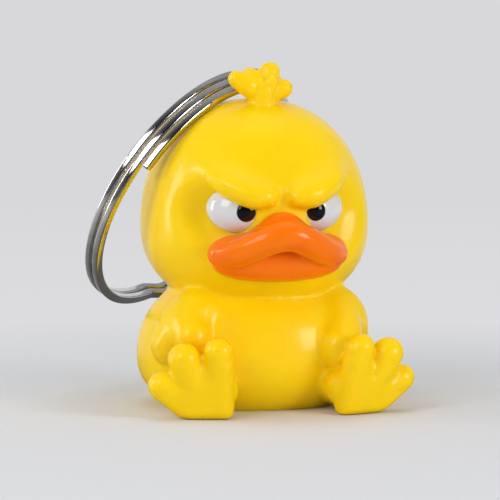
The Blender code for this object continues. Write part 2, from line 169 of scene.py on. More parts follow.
def run_through(stations: Array, steps: int = 10) -> Array:
    """A Catmull-Rom curve through stations of any number of values.

    Between two stations each value is the cubic in t that meets both of them, with the slope at each half
    the difference of its neighbours.

    Args:
        stations: One row for each station.
        steps: Points from each station to the next.

    Returns:
        The rows along the curve.
    """
    knots = np.vstack([2 * stations[0] - stations[1], stations, 2 * stations[-1] - stations[-2]])
    t = (np.arange(steps) / steps)[:, None]
    spans = []
    for before, start, end, after in zip(knots, knots[1:], knots[2:], knots[3:]):
        pull = (end - before) * t + (2 * before - 5 * start + 4 * end - after) * t**2
        spans.append(start + 0.5 * (pull + (3 * start - 3 * end + after - before) * t**3))
    return np.vstack([*spans, stations[-1:]])


def limb_points(stations: Array, columns: int = 32) -> Array:
    """Points of a limb with round ends: a circle carried along a curve, with a radius that changes.

    At each point of the curve the ring is the centre plus the radius times (cos a, sin a) on the two
    directions across the curve. Each end is closed by a quarter round of the radius there.

    Args:
        stations: Rows of (x, y, z, radius).
        columns: Points in each ring.

    Returns:
        The rings' points, and the two tips last.
    """
    run = run_through(np.asarray(stations, float))
    rise = np.radians(np.array([80.0, 65.0, 50.0, 35.0, 20.0, 8.0]))
    ends = []
    for tip, inner in ((run[0], run[1]), (run[-1], run[-2])):
        outward = (tip - inner)[:3] / np.linalg.norm((tip - inner)[:3])
        centres = tip[:3] + outward * tip[3] * np.sin(rise)[:, None]
        ends.append((np.column_stack([centres, tip[3] * np.cos(rise)]), tip[:3] + outward * tip[3]))
    run = np.vstack([ends[0][0], run, ends[1][0][::-1]])
    tangent = np.gradient(run[:, :3], axis=0)
    tangent /= np.linalg.norm(tangent, axis=1, keepdims=True)
    main = np.abs(run[-1, :3] - run[0, :3])
    reference = np.eye(3)[int(np.argmin(main))]
    across = np.cross(tangent, reference)
    across /= np.linalg.norm(across, axis=1, keepdims=True)
    up = np.cross(across, tangent)
    turn = np.arange(columns) * 2 * math.pi / columns
    ring = across[:, None] * np.cos(turn)[None, :, None] + up[:, None] * np.sin(turn)[None, :, None]
    rings = run[:, None, :3] + run[:, None, 3:] * ring
    return np.vstack([rings.reshape(-1, 3), ends[0][1], ends[1][1]])


def limb_mesh(stations: Array | list[Station]) -> bpy.types.Mesh:
    """A rounded limb through stations of (x, y, z, radius)."""
    return ball_mesh("limb", limb_points(np.asarray(stations, float)), columns=32)


def melt(meshes: list[bpy.types.Mesh], name: str, grain: float, rounds: int) -> bpy.types.Object:
    """Melts overlapping closed shapes into one skin, as a mould does.

    Args:
        meshes: The closed shapes, in metres.
        name: The name of the piece.
        grain: Size of the skin's faces in millimetres.
        rounds: How often the skin is smoothed.

    Returns:
        The skin as an object at the origin.
    """
    joined = bmesh.new()
    for mesh in meshes:
        joined.from_mesh(mesh)
    whole = bpy.data.meshes.new(name)
    joined.to_mesh(whole)
    joined.free()
    obj = place_piece(whole, name)
    skin = obj.modifiers.new("skin", "REMESH")
    skin.mode = "VOXEL"
    skin.voxel_size = grain * MM
    soften = obj.modifiers.new("soften", "SMOOTH")
    soften.factor = 0.5
    soften.iterations = rounds
    bake_modifiers(obj)
    return obj


def bake_modifiers(obj: bpy.types.Object) -> None:
    """Replaces an object's mesh with what its modifiers make of it.

    Args:
        obj: The piece.
    """
    bpy.context.view_layer.update()
    graph = bpy.context.evaluated_depsgraph_get()
    mesh = bpy.data.meshes.new_from_object(obj.evaluated_get(graph))
    obj.modifiers.clear()
    obj.data = mesh


def point_places(mesh: bpy.types.Mesh) -> Array:
    """Reads where a mesh's points are.

    Args:
        mesh: The mesh.

    Returns:
        The points in metres, one row each.
    """
    places = np.empty(len(mesh.vertices) * 3, dtype=np.float32)
    mesh.vertices.foreach_get("co", places)
    return places.reshape(-1, 3).astype(float)


def band(places: Array, middle: float, reach: float) -> Array:
    """A weight of exp(-((place - middle) / reach)^4), which is one in the middle and fades at the reach."""
    return np.exp(-(((places - middle) / reach) ** 4))


def relax(obj: bpy.types.Object, weight: Array, rounds: int) -> None:
    """Smooths part of a mesh: each round moves a point by its weight towards the mean of its neighbours.

    Args:
        obj: The piece.
        weight: How far each point goes, from 0 to 1.
        rounds: How often it is done.
    """
    mesh = obj.data
    points = point_places(mesh)
    count = len(points)
    edges = np.empty(len(mesh.edges) * 2, dtype=np.int32)
    mesh.edges.foreach_get("vertices", edges)
    here = np.concatenate([edges[0::2], edges[1::2]])
    there = np.concatenate([edges[1::2], edges[0::2]])
    share = (weight / np.maximum(np.bincount(here, minlength=count), 1))[:, None]
    degree = np.bincount(here, minlength=count)[:, None]
    for _ in range(rounds):
        near = np.column_stack([np.bincount(here, points[there, axis], count) for axis in range(3)])
        points += share * (near - degree * points)
    mesh.vertices.foreach_set("co", points.astype(np.float32).ravel())
    mesh.update()


def cut_flat(obj: bpy.types.Object) -> None:
    """Cuts away what lies below the floor, and closes the cut with a flat face.

    Args:
        obj: The piece, a closed skin.
    """
    shape = bmesh.new()
    shape.from_mesh(obj.data)
    everything = [*shape.verts, *shape.edges, *shape.faces]
    cut = bmesh.ops.bisect_plane(
        shape, geom=everything, plane_co=(0, 0, 0), plane_no=(0, 0, -1), clear_outer=True
    )
    rim = [item for item in cut["geom_cut"] if isinstance(item, bmesh.types.BMEdge)]
    bmesh.ops.edgenet_fill(shape, edges=rim)
    bmesh.ops.recalc_face_normals(shape, faces=shape.faces)
    shape.to_mesh(obj.data)
    shape.free()


def place_piece(mesh: bpy.types.Mesh, name: str) -> bpy.types.Object:
    """Links a mesh to the scene as an object at the origin.

    Args:
        mesh: The mesh, in metres.
        name: The name of the piece.

    Returns:
        The object.
    """
    obj = bpy.data.objects.new(name, mesh)
    bpy.context.scene.collection.objects.link(obj)
    return obj


def finish_piece(
    obj: bpy.types.Object, rides: Rides, nodes: list[str], paint: bpy.types.Material
) -> None:
    """Gives a piece its material and smooth faces, hides the frame's nodes that it stands for, and hangs it
    on its body.

    Args:
        obj: The piece.
        rides: The body that it moves with.
        nodes: The frame's nodes that it replaces.
        paint: The material.
    """
    obj.data.materials.clear()
    obj.data.materials.append(paint)
    obj.data.shade_smooth()
    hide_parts(*nodes)
    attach(obj, rides.value)
    LOG.info("%s: %d faces, on %s", obj.name, len(obj.data.polygons), rides.value)


# Duck


@dataclass
class Head:
    """The dome, fuller than an ellipsoid, widest low on the cheeks, with a soft hollow behind each eye."""

    width: float = 25.9
    front: float = 12.4
    back: float = 12.8
    rise: float = 14.5
    drop: float = 9.8
    level: float = 20.4
    setback: float = 0.6
    power: float = 2.2
    hollow: float = 1.9
    hollow_apart: float = 7.1
    hollow_level: float = 22.2
    hollow_reach: tuple[float, float, float] = (3.3, 3.3, 4.6)
    hollow_firmness: float = 5.0
    columns: int = 256

    @property
    def crown(self) -> float:
        """Height of the head's top."""
        return self.level + self.rise

    def on_face(self, x: Array | float, z: Array | float, stand: Array | float = 0.0) -> Array:
        """Points of the head's front, moved forward by the stand.

        Args:
            x: How far across.
            z: How high.
            stand: How far in front of the head.

        Returns:
            Points, one row each, or one point for plain numbers.
        """
        rise = (z - self.level) / np.where(z > self.level, self.rise, self.drop)
        share = np.abs(2 * x / self.width) ** self.power + np.abs(rise) ** self.power
        reach = np.maximum(0.0, 1.0 - share) ** (1.0 / self.power)
        return np.stack(np.broadcast_arrays(x, self.setback - self.front * reach - stand, z), axis=-1)

    def mesh(self) -> bpy.types.Mesh:
        """The dome, with each point near an eye drawn towards the middle.

        The depth is the hollow times exp(-q), where q is the distance from the hollow's middle, in units of
        its reach outward, above or below, to the power of its firmness. So the floor is broad and the rim is
        firm.

        Returns:
            The closed dome.
        """
        sizes = ((self.width / 2, self.width / 2), (self.back, self.front), (self.rise, self.drop))
        centre = np.array([0.0, self.setback, self.level])
        points = superball(np.array(sizes), self.power, rows=160, columns=self.columns) + centre
        out, above, below = self.hollow_reach
        rise = points[:, 2] - self.hollow_level
        across = (np.abs(points[:, 0]) - self.hollow_apart) / out
        up = rise / np.where(rise > 0, above, below)
        share = np.exp(-((across**2 + up**2) ** (self.hollow_firmness / 2)))
        depth = self.hollow * share * (points[:, 1] < self.setback)
        inward = centre - points
        points += inward / np.linalg.norm(inward, axis=1, keepdims=True) * depth[:, None]
        return ball_mesh("head", points, self.columns)


@dataclass
class Foot:
    """A webbed foot that stands on its heel, sole forward, toes up and splayed outward.

    A toe runs from its root to its tip, each given on the sole as (out, up, radius), and the corners of an
    outline are (out, up). The drift is how far a toe goes outward for each length that it goes up.
    """

    heel_in: float = 5.7
    forward: float = 13.0
    splay: float = 16.0
    lean: float = 10.0
    toe_tips: tuple[tuple[float, float, float], ...] = (
        (1.75, 7.6, 1.62),
        (5.5, 6.75, 1.85),
        (7.9, 3.75, 1.62),
    )
    toe_roots: tuple[tuple[float, float, float], ...] = (
        (1.75, 2.0, 1.45),
        (3.9, 2.2, 1.45),
        (5.0, 2.3, 1.45),
    )
    toe_drift: dict[Side, float] = field(default_factory=lambda: {Side.RIGHT: 0.0, Side.LEFT: 0.1})
    sole_thickness: float = 3.0
    sole_outline: tuple[tuple[float, float], ...] = (
        (0.0, 0.0),
        (5.9, 0.0),
        (9.3, 2.9),
        (8.6, 4.4),
        (5.4, 4.3),
        (3.4, 5.0),
        (0.1, 7.4),
    )
    web_thickness: float = 2.3
    web_outline: tuple[tuple[float, float], ...] = (
        (0.6, 1.0),
        (6.0, 1.0),
        (8.2, 3.0),
        (7.3, 5.0),
        (6.0, 6.0),
        (1.6, 6.4),
    )
    corner_rounds: int = 3
    corner_span: int = 3
    edge_draw: float = 0.75
    rows: int = 25
    columns: int = 144

    def frame(self, side: Side) -> Matrix:
        """From the sole's own place, X outward, Y up the toes and Z through it, to the duck's.

        Args:
            side: The foot's side.

        Returns:
            The transform, which mirrors the sole on the right side.
        """
        place = Matrix.Translation(Vector((side.value * self.heel_in, -self.forward, 0.0)) * MM)
        turn = Matrix.Rotation(side.value * math.radians(self.splay), 4, "Z")
        lean = Matrix.Rotation(math.radians(90 + self.lean), 4, "X")
        return place @ turn @ lean @ Matrix.Diagonal((side.value, 1.0, 1.0, 1.0))

    def plate(self, outline: tuple[tuple[float, float], ...], thickness: float) -> bpy.types.Mesh:
        """A flat plate with round corners and a round edge.

        The outline is walked in even steps and each point is averaged with its neighbours, which rounds
        the corners. Each row of the plate is that rim drawn in by the edge's draw times its radius times
        (1 - cos a), at a depth of the radius times sin a, for a from the back face to the front one.

        Args:
            outline: Corners as (out, up).
            thickness: Size through the plate.

        Returns:
            The closed plate.
        """
        closed = np.array([*outline, outline[0]])
        along = np.concatenate([[0.0], np.cumsum(np.linalg.norm(np.diff(closed, axis=0), axis=1))])
        places = np.arange(self.columns) / self.columns * along[-1]
        rim = np.column_stack([np.interp(places, along, closed[:, axis]) for axis in (0, 1)])
        shifts = range(-self.corner_span, self.corner_span + 1)
        for _ in range(self.corner_rounds):
            rim = sum(np.roll(rim, shift, axis=0) for shift in shifts) / len(shifts)
        tangent = np.roll(rim, -1, axis=0) - np.roll(rim, 1, axis=0)
        inward = np.column_stack([-tangent[:, 1], tangent[:, 0]])
        inward /= np.linalg.norm(inward, axis=1, keepdims=True)
        radius = thickness / 2
        angles = np.radians(np.linspace(-90, 90, self.rows))
        drawn = rim[None] + inward[None] * self.edge_draw * radius * (1 - np.cos(angles))[:, None, None]
        depth = np.broadcast_to((radius * np.sin(angles))[:, None, None], (self.rows, self.columns, 1))
        points = np.concatenate([drawn, depth], axis=-1).reshape(-1, 3)
        middle = rim.mean(axis=0)
        poles = np.array([[*middle, -radius], [*middle, radius]])
        return ball_mesh("plate", np.vstack([points, poles]), self.columns)

    def meshes(self, side: Side) -> list[bpy.types.Mesh]:
        """The thick sole, the thinner web between the toes, and the three toes.

        Args:
            side: The foot's side.

        Returns:
            The closed shapes, in place.
        """
        made = [
            self.plate(self.sole_outline, self.sole_thickness),
            self.plate(self.web_outline, self.web_thickness),
        ]
        for root, tip in zip(self.toe_roots, self.toe_tips):
            made.append(limb_mesh([(x, y, 0.0, radius) for x, y, radius in (root, tip)]))
        drift = Matrix.Identity(4)
        drift[0][1] = self.toe_drift[side]
        for mesh in made:
            mesh.transform(drift)
            mesh.transform(self.frame(side))
            if side is Side.RIGHT:
                mesh.flip_normals()
        return made


@dataclass(frozen=True)
class Wing:
    """One wing held against the body, as stations of (out, y, z, radius)."""

    arm: tuple[Station, ...]
    hand: tuple[Station, ...]


# The right wing rests its elbow low and its hand high, and the left one lets its hand drop
RIGHT_WING = Wing(
    arm=((5.6, -2.6, 12.2, 2.2), (7.9, -5.1, 11.2, 2.8), (9.6, -5.6, 9.6, 2.9), (10.6, -4.9, 7.6, 2.75)),
    hand=((8.2, -5.9, 11.0, 2.75), (9.4, -7.0, 9.6, 2.6), (9.4, -8.5, 8.7, 2.1)),
)
LEFT_WING = Wing(
    arm=((5.6, -2.6, 12.2, 2.2), (7.8, -5.1, 11.2, 2.8), (8.9, -5.4, 9.8, 2.9), (9.5, -4.6, 7.8, 2.5)),
    hand=((8.0, -6.2, 10.6, 2.5), (8.0, -8.3, 9.0, 2.25), (7.4, -9.5, 7.5, 2.6), (7.3, -9.6, 6.9, 2.6)),
)


@dataclass
class DuckBody:
    """The yellow moulding: head, tuft, brows, body, wings, legs and feet in one skin.

    A brow's stations are (out, up, stand in front of the head, radius), and a lobe's are (across, ahead of
    the stem, up from the crown, radius). The neck, the wings and the forehead are each smoothed in a band
    with a level, a reach and a number of rounds, and the forehead's level is counted from the brows. The
    leg starts and ends at shares of the body's depth and of its own radius.
    """

    head: Head
    foot: Foot = field(default_factory=Foot)
    width: float = 27.0
    depth: float = 22.6
    rise: float = 10.3
    drop: float = 7.5
    level: float = 5.5
    setback: float = 0.6
    power: float = 2.2
    wings: dict[Side, Wing] = field(default_factory=lambda: {Side.RIGHT: RIGHT_WING, Side.LEFT: LEFT_WING})
    leg_spread: float = 7.2
    leg_radius: float = 2.4
    leg_level: float = 2.9
    leg_root: float = 0.3
    leg_end: float = 0.6
    leg_taper: float = 0.9
    brow_run: tuple[Station, ...] = (
        (6.9, 26.45, -0.1, 1.25),
        (5.4, 25.45, 0.15, 1.55),
        (3.4, 24.55, 0.4, 1.65),
        (1.85, 24.4, 0.35, 1.42),
    )
    brow_root: tuple[Station, ...] = (
        (7.4, 27.1, -1.3, 1.5),
        (5.2, 26.2, -1.35, 1.8),
        (2.6, 25.5, -1.35, 1.75),
    )
    tuft_forward: float = 3.0
    tuft_sink: float = 0.4
    tuft_lobes: tuple[tuple[Station, ...], ...] = (
        ((0.0, 0.0, -1.2, 1.5), (0.1, 0.3, 1.3, 1.4)),
        ((-0.1, 0.0, 0.7, 1.1), (-1.7, 0.1, 1.9, 1.3), (-3.0, 0.1, 2.6, 1.0)),
        ((-0.1, -0.3, 1.3, 1.1), (-1.25, -0.6, 2.75, 1.2)),
        ((0.2, -0.2, 1.0, 1.1), (1.0, -0.3, 3.4, 1.2)),
        ((0.3, 0.7, 1.3, 0.8), (0.8, 1.0, 2.4, 0.7)),
        ((0.3, 0.0, 0.7, 1.0), (2.5, 0.1, 1.55, 1.1)),
    )
    neck_level: float = 12.9
    neck_reach: float = 1.3
    neck_rounds: int = 4
    forehead_level: float = 3.0
    forehead_reach: float = 2.6
    forehead_rounds: int = 50
    forehead_front: float = -6.0
    forehead_side: float = 10.0
    wing_level: float = 11.0
    wing_reach: float = 2.6
    wing_rounds: int = 16
    wing_inner: float = 4.5
    wing_front: float = -11.5
    grain: float = 0.23
    rounds: int = 5
    columns: int = 192

    def torso(self) -> bpy.types.Mesh:
        """The pear-shaped body, a superball with a higher top than bottom.

        Returns:
            The closed shape, whose bottom is still round and below the floor.
        """
        sizes = ((self.width / 2, self.width / 2), (self.depth / 2, self.depth / 2), (self.rise, self.drop))
        points = superball(np.array(sizes), self.power, rows=120, columns=self.columns)
        return ball_mesh("torso", points + np.array([0.0, self.setback, self.level]), self.columns)

    def wing(self, side: Side) -> list[bpy.types.Mesh]:
        """The upper wing down to its elbow, and the hand that it folds forward."""
        wing = self.wings[side]
        return [limb_mesh(np.array(run) * (side.value, 1.0, 1.0, 1.0)) for run in (wing.arm, wing.hand)]

    def leg(self, side: Side) -> bpy.types.Mesh:
        """The short leg between the body and the foot, a limb of two stations.

        Args:
            side: The leg's side.

        Returns:
            The closed shape.
        """
        x = side.value * self.leg_spread
        root = self.setback - self.leg_root * self.depth
        end = -self.foot.forward + self.leg_end * self.leg_radius
        back = (x, root, self.leg_level, self.leg_radius)
        front = (x, end, self.leg_level, self.leg_taper * self.leg_radius)
        return limb_mesh([back, front])

    def brow(self, side: Side) -> list[bpy.types.Mesh]:
        """The heavy brow laid on the head's front, and the swelling above that carries it.

        Args:
            side: The brow's side.

        Returns:
            The closed shapes.
        """
        made = []
        for run in (self.brow_run, self.brow_root):
            x, z, stand, radius = np.array(run).T
            made.append(limb_mesh(np.column_stack([self.head.on_face(side.value * x, z, stand), radius])))
        return made

    def tuft(self) -> list[bpy.types.Mesh]:
        """The lobes of the tuft on its short stem, each a limb.

        Returns:
            The closed shapes, the stem first.
        """
        made = []
        for lobe in self.tuft_lobes:
            x, ahead, up, radius = np.array(lobe).T
            y = -self.tuft_forward - ahead
            made.append(limb_mesh(np.column_stack([x, y, self.head.crown - self.tuft_sink + up, radius])))
        return made

    def soften(self, skin: bpy.types.Object) -> None:
        """Smooths the neck's crease, the folds of the wings, and the forehead above the brows.

        Args:
            skin: The melted skin.
        """
        across, ahead, up = point_places(skin.data).T / MM
        relax(skin, band(up, self.neck_level, self.neck_reach), self.neck_rounds)
        beside = (np.abs(across) > self.wing_inner) & (ahead > self.wing_front)
        relax(skin, band(up, self.wing_level, self.wing_reach) * beside, self.wing_rounds)
        run = np.array(self.brow_run)[::-1]
        above = up - np.interp(np.abs(across), run[:, 0], run[:, 1])
        forehead = band(above, self.forehead_level, self.forehead_reach) * (ahead < self.forehead_front)
        inside = np.clip(self.forehead_side - np.abs(across), 0.0, 1.0)
        relax(skin, forehead * inside, self.forehead_rounds)

    def build(self, paint: bpy.types.Material) -> bpy.types.Object:
        """Melts the shapes into one skin and cuts it flat on the floor.

        Args:
            paint: The yellow finish.

        Returns:
            The finished piece.
        """
        shapes = [self.head.mesh(), self.torso(), *self.tuft()]
        for side in Side:
            shapes += [*self.wing(side), self.leg(side), *self.foot.meshes(side), *self.brow(side)]
        skin = melt(shapes, "duck_skin", self.grain, self.rounds)
        self.soften(skin)
        cut_flat(skin)
        finish_piece(skin, Rides.DUCK, ["duck_body"], paint)
        return skin


@dataclass
class Bill:
    """The orange bill: a thick upper lip arched over a flatter lower bill, with a rim up between the eyes.

    The stations of its runs are (out, up, stand in front of the head, radius), from a corner to the middle.
    """

    head: Head
    lip_run: tuple[Station, ...] = (
        (6.65, 17.8, 0.1, 1.35),
        (5.3, 18.0, 0.7, 1.6),
        (3.6, 18.8, 1.25, 1.7),
        (1.8, 19.65, 1.8, 1.7),
        (0.0, 20.0, 2.0, 1.68),
    )
    rim_run: tuple[Station, ...] = (
        (6.95, 17.8, -0.1, 1.05),
        (6.7, 18.4, -0.1, 1.05),
        (5.7, 18.95, 0.0, 1.05),
        (3.9, 19.3, 0.1, 1.05),
        (2.2, 20.3, 0.2, 1.05),
        (1.0, 21.3, 0.3, 1.0),
        (0.0, 21.6, 0.35, 1.0),
    )
    lower_size: tuple[float, float, float] = (14.8, 5.4, 4.5)
    lower_level: float = 16.95
    lower_stand: float = -1.55
    lower_power: float = 2.3
    grain: float = 0.13
    rounds: int = 4

    def build(self, paint: bpy.types.Material) -> bpy.types.Object:
        """Melts lip, rim and lower bill into one skin.

        Args:
            paint: The orange finish.

        Returns:
            The finished piece.
        """
        shapes = []
        for run in (self.lip_run, self.rim_run):
            x, z, stand, radius = np.array(run).T
            half = np.column_stack([self.head.on_face(x, z, stand), radius])
            mirrored = half[-2::-1] * np.array([-1.0, 1.0, 1.0, 1.0])
            shapes.append(limb_mesh(np.vstack([half, mirrored])))
        centre = self.head.on_face(0.0, self.lower_level, self.lower_stand)
        lower = superball(even(*self.lower_size), self.lower_power) + centre
        shapes.append(ball_mesh("lower bill", lower))
        skin = melt(shapes, "bill_skin", self.grain, self.rounds)
        finish_piece(skin, Rides.DUCK, ["bill"], paint)
        return skin


@dataclass
class Eye:
    """A glossy oval sunk under the brow, with a domed pupil set into it."""

    head: Head
    apart: float = 4.6
    level: float = 22.7
    sink: float = 2.0
    length: float = 6.65
    height: float = 5.05
    depth: float = 4.6
    turn: float = 22.0
    roll: float = 8.0
    pupil_apart: float = 3.95
    pupil_level: float = 22.6
    pupil_radius: float = 1.12
    pupil_depth: float = 1.1
    pupil_stand: float = 0.28

    def frame(self, side: Side) -> Matrix:
        """From the eye's own place, its length along X and its front at -Y, to the duck's.

        Args:
            side: The eye's side.

        Returns:
            The transform.
        """
        middle = self.head.on_face(side.value * self.apart, self.level, -self.sink)
        place = Matrix.Translation(Vector(middle) * MM)
        turn = Matrix.Rotation(side.value * math.radians(self.turn), 4, "Z")
        roll = Matrix.Rotation(-side.value * math.radians(self.roll), 4, "Y")
        return place @ turn @ roll

    def white(self, side: Side, paint: bpy.types.Material) -> bpy.types.Object:
        """The white oval, a superball of power two.

        Args:
            side: The eye's side.
            paint: The white finish.

        Returns:
            The finished piece.
        """
        mesh = ball_mesh("eye white", superball(even(self.length, self.depth, self.height)))
        mesh.transform(self.frame(side))
        obj = place_piece(mesh, f"eye_{side.word}")
        finish_piece(obj, Rides.DUCK, [f"eye_white_{side.word}"], paint)
        return obj

    def pupil(self, side: Side, paint: bpy.types.Material) -> bpy.types.Object:
        """The pupil, seated where the white's front has the same place across and up.

        On the white, across and up in units of its half sizes, the front is its half depth times the root
        of (1 - across^2 - up^2).

        Args:
            side: The eye's side.
            paint: The black finish.

        Returns:
            The finished piece.
        """
        across_dome = 2 * self.pupil_radius
        mesh = ball_mesh("pupil", superball(even(across_dome, self.pupil_depth, across_dome)))
        spot = Vector(self.head.on_face(side.value * self.pupil_apart, self.pupil_level)) * MM
        local = self.frame(side).inverted() @ spot
        across = 2 * local.x / (self.length * MM)
        up = 2 * local.z / (self.height * MM)
        front = -self.depth / 2 * math.sqrt(1.0 - across**2 - up**2)
        seat = Vector((local.x, (front + self.pupil_depth / 2 - self.pupil_stand) * MM, local.z))
        facing = Matrix.Rotation(-side.value * math.radians(self.turn), 4, "Z")
        mesh.transform(self.frame(side) @ Matrix.Translation(seat) @ facing)
        obj = place_piece(mesh, f"dome_{side.word}")
        finish_piece(obj, Rides.DUCK, [f"pupil_{side.word}"], paint)
        return obj


# Metal


@dataclass
class Hanging:
    """Where the ring passes through the eye above the crown, and how it leans.

    The turn is the ring's direction round the vertical, and the lean is its tilt away from the upright.
    """

    pivot: tuple[float, float, float] = (0.8, 3.8, 36.7)
    turn: float = 45.0
    lean: float = 32.0

    def axes(self) -> tuple[Array, Array, Array]:
        """The directions of the hanging ring where it passes through the eye.

        Returns:
            Along the wire, outward from the ring's middle, and along the ring's axis.
        """
        turn = math.radians(self.turn)
        lean = math.radians(self.lean)
        along = np.array([math.cos(turn), math.sin(turn), 0.0])
        behind = np.array([-math.sin(turn), math.cos(turn), 0.0])
        outward = np.array([0.0, 0.0, math.cos(lean)]) - behind * math.sin(lean)
        return along, outward, np.cross(along, outward)


@dataclass
class SplitRing:
    """Flat-sided spring wire coiled into two turns and part of a third, with one step in each turn.

    Angles along the coil are in degrees from the eye, and the wire runs down through them from its start to
    its end. Over the length of the bevel, each cut end narrows to the end's scale.
    """

    hanging: Hanging
    diameter: float = 32.0
    radial: float = 1.1
    axial: float = 0.9
    corner: float = 0.25
    gap: float = 0.22
    start: float = -9.0
    end: float = -793.0
    step_at: float = -197.0
    step_span: float = 10.0
    most_steps: int = 3
    middle_layer: float = 1.5
    end_bevel: float = 0.12
    end_scale: float = 0.72
    rows: int = 900

    def section(self, columns: int = 48) -> Array:
        """The wire's section: a rectangle with round corners.

        Each point lies on a quarter circle round the nearest corner's middle, so the flats are the straight
        lines between the quarters.

        Args:
            columns: Points round the section.

        Returns:
            Points of (radial, axial), one row each.
        """
        turn = (np.arange(columns) + 0.5) * 2 * math.pi / columns
        across, up = np.cos(turn), np.sin(turn)
        core = np.array([self.radial / 2 - self.corner, self.axial / 2 - self.corner])
        direction = np.column_stack([across, up])
        return np.sign(direction) * core + self.corner * direction

    def layer(self, angle: Array) -> Array:
        """The wire's layer at each angle: it rises by one at the step in each turn, as 3 t^2 - 2 t^3.

        Args:
            angle: Angles along the coil, in degrees.

        Returns:
            The layer at each angle.
        """
        turns = np.arange(self.most_steps)[:, None]
        into = np.clip((self.step_at - 360.0 * turns - angle) / self.step_span + 0.5, 0.0, 1.0)
        return (into * into * (3.0 - 2.0 * into)).sum(axis=0)

    def build(self, paint: bpy.types.Material) -> bpy.types.Object:
        """Carries the section along the coil.

        A point is the pivot, plus outward times (r cos a - R), plus along times (r sin a), less the axis
        times its height, where r is the coil's radius plus the point's radial place.

        Args:
            paint: The steel finish.

        Returns:
            The finished piece, with the wire's own place stored for its drawing lines.
        """
        section = self.section()
        bevel = self.end_bevel / self.diameter * 360 / math.pi
        inner = np.linspace(self.start, self.end, self.rows)[1:-1]
        angle = np.array([self.start, self.start - bevel, *inner, self.end + bevel, self.end])
        scale = np.ones(len(angle))
        scale[[0, -1]] = self.end_scale
        coil = (self.diameter - self.radial) / 2
        turn = np.radians(angle)[:, None]
        radius = coil + section[None, :, 0] * scale[:, None]
        layer = (self.middle_layer - self.layer(angle))[:, None] * (self.axial + self.gap)
        height = layer + section[None, :, 1] * scale[:, None]
        along, outward, axis = self.hanging.axes()
        points = np.array(self.hanging.pivot) + (
            (radius * np.cos(turn) - coil)[..., None] * outward
            + (radius * np.sin(turn))[..., None] * along
            - height[..., None] * axis
        )
        poles = points[[0, -1]].mean(axis=1)
        columns = len(section)
        mesh = ball_mesh("split ring", np.vstack([points.reshape(-1, 3), poles]), columns)
        place = np.zeros((len(angle), columns, 3))
        place[..., 0] = -np.radians(angle)[:, None] * coil
        place[..., 1:] = section[None]
        stored = mesh.attributes.new("wire_place", "FLOAT_VECTOR", "POINT")
        stored.data.foreach_set("vector", np.vstack([place.reshape(-1, 3), place[[0, -1], 0]]).ravel())
        obj = place_piece(mesh, "ring_coil")
        finish_piece(obj, Rides.RING, ["split_ring"], paint)
        return obj


@dataclass
class ScrewEye:
    """A wire loop that holds the ring, on a shank sunk into the crown.

    The shank's profile has points of (radius, height over the loop's foot).
    """

    hanging: Hanging
    reach: float = 1.39
    wire: float = 0.46
    shank: tuple[tuple[float, float], ...] = (
        (0.30, 0.05),
        (0.36, -0.1),
        (0.45, -0.35),
        (0.45, -4.2),
        (0.12, -6.0),
    )

    def build(self, paint: bpy.types.Material) -> bpy.types.Object:
        """The loop and the shank as one piece.

        The loop is a ring of radius R whose wire is a circle of radius w: each point is the middle, plus
        (R + w cos b) on the loop's own circle, plus w sin b along the split ring's wire. The shank is a
        profile of radius against height over the loop's foot, turned round the vertical.

        Args:
            paint: The steel finish.

        Returns:
            The finished piece.
        """
        along, _, _ = self.hanging.axes()
        pivot = np.array(self.hanging.pivot)
        behind = np.cross([0.0, 0.0, 1.0], along)
        rows, columns = 72, 28
        a = (np.arange(rows) * 2 * math.pi / rows)[:, None]
        b = (np.arange(columns) * 2 * math.pi / columns)[None]
        half = self.wire / 2
        out = self.reach + half * np.cos(b)
        points = (
            pivot
            + (out * np.cos(a))[..., None] * behind
            + (out * np.sin(a))[..., None] * np.array([0.0, 0.0, 1.0])
            + np.broadcast_to(half * np.sin(b), (rows, columns))[..., None] * along
        )
        index = np.arange(rows * columns).reshape(rows, columns)
        over = np.roll(index, -1, axis=0)
        faces = np.stack([index, np.roll(index, -1, axis=1), np.roll(over, -1, axis=1), over], axis=-1)
        loop = build_mesh("loop", points.reshape(-1, 3), faces.reshape(-1, 4).tolist())

        profile = np.array(self.shank)
        foot = pivot - (0.0, 0.0, self.reach)
        around = 32
        turn = np.arange(around) * 2 * math.pi / around
        rings = np.stack(
            [
                foot[0] + profile[:, :1] * np.cos(turn),
                foot[1] + profile[:, :1] * np.sin(turn),
                np.broadcast_to(foot[2] + profile[:, 1:], (len(profile), around)),
            ],
            axis=-1,
        )
        poles = rings[[0, -1]].mean(axis=1)
        shank = ball_mesh("shank", np.vstack([rings.reshape(-1, 3), poles]), around)
        joined = bmesh.new()
        for mesh in (loop, shank):
            joined.from_mesh(mesh)
        whole = bpy.data.meshes.new("screw eye")
        joined.to_mesh(whole)
        joined.free()
        obj = place_piece(whole, "eye_screw")
        finish_piece(obj, Rides.DUCK, ["screw_eye"], paint)
        return obj


# Finishes


